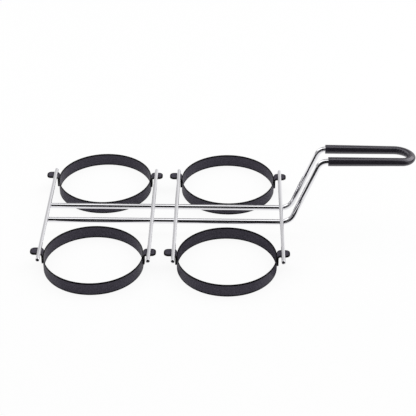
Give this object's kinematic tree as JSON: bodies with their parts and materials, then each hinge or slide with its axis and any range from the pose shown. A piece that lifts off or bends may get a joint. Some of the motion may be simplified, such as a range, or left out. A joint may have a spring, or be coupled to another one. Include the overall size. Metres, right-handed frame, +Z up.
{
  "type": "four-ring egg ring",
  "caption": "Egg-frying mould for a pan or griddle: coated round bands hang by bent lugs from a chromed wire frame that rises into a loop handle with a vinyl grip.",
  "frame": {"origin": "bottom centre of the whole object's box, on the surface that the bands stand on", "axes": "+X from the bands to the tip of the handle, +Y away from the front bands, +Z up"},
  "size_m": [0.3464, 0.22, 0.0827],
  "materials": {
    "nonstick_coating": "satin charcoal non-stick coating on steel sheet",
    "chrome_wire": "bright chrome plate on drawn steel wire",
    "grip_vinyl": "black soft vinyl with a smooth gloss"
  },
  "bodies": {
    "root": {"handle_frame_wire": "chrome_wire", "grip_sleeve": "grip_vinyl", "cross_wire_left_outer": "chrome_wire", "cross_wire_left_inner": "chrome_wire", "cross_wire_right_inner": "chrome_wire", "cross_wire_right_outer": "chrome_wire", "ring_front_left": "nonstick_coating", "ring_front_right": "nonstick_coating", "ring_back_left": "nonstick_coating", "ring_back_right": "nonstick_coating", "lug_front_left_outer": "nonstick_coating", "lug_front_left_inner": "nonstick_coating", "lug_front_right_outer": "nonstick_coating", "lug_front_right_inner": "nonstick_coating", "lug_back_left_outer": "nonstick_coating", "lug_back_left_inner": "nonstick_coating", "lug_back_right_outer": "nonstick_coating", "lug_back_right_inner": "nonstick_coating"}
  },
  "joints": []
}
